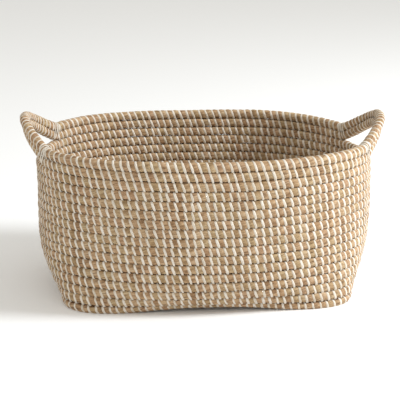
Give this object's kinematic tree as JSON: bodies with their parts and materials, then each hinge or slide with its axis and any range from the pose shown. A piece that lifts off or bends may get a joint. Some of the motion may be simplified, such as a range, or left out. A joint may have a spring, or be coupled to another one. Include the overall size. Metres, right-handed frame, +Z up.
{
  "type": "storage basket",
  "caption": "Oval coiled seagrass storage basket with pale stitched binding and two loop handles raised from the rim.",
  "frame": {"origin": "centre of the footprint at floor level, the plane of the four corner feet", "axes": "+Z up out of the mouth; +X along the length, from handle to handle; +Y towards the back long side"},
  "size_m": [0.5448, 0.36, 0.2638],
  "materials": {
    "seagrass": "matte",
    "binding": "satin",
    "lashing": "satin"
  },
  "bodies": {
    "root": {"base_01_coil": "seagrass", "base_02_coil": "seagrass", "base_03_coil": "seagrass", "base_04_coil": "seagrass", "base_05_coil": "seagrass", "base_06_coil": "seagrass", "base_07_coil": "seagrass", "base_08_coil": "seagrass", "base_09_coil": "seagrass", "base_10_coil": "seagrass", "base_binding": "binding", "base_core_binding": "binding", "base_core_coil": "seagrass", "base_edge_binding": "binding", "base_edge_coil": "seagrass", "handle_left_lashings": "lashing", "handle_right_lashings": "lashing", "rim_lower_binding": "binding", "rim_lower_coil": "seagrass", "rim_top_binding": "binding", "rim_top_coil": "seagrass", "wall_03_binding": "binding", "wall_03_coil": "seagrass", "wall_04_binding": "binding", "wall_04_coil": "seagrass", "wall_05_binding": "binding", "wall_05_coil": "seagrass", "wall_06_binding": "binding", "wall_06_coil": "seagrass", "wall_07_binding": "binding", "wall_07_coil": "seagrass", "wall_08_binding": "binding", "wall_08_coil": "seagrass", "wall_09_binding": "binding", "wall_09_coil": "seagrass", "wall_10_binding": "binding", "wall_10_coil": "seagrass", "wall_11_binding": "binding", "wall_11_coil": "seagrass", "wall_12_binding": "binding", "wall_12_coil": "seagrass", "wall_13_binding": "binding", "wall_13_coil": "seagrass", "wall_14_binding": "binding", "wall_14_coil": "seagrass", "wall_15_binding": "binding", "wall_15_coil": "seagrass", "wall_16_binding": "binding", "wall_16_coil": "seagrass"}
  },
  "joints": []
}
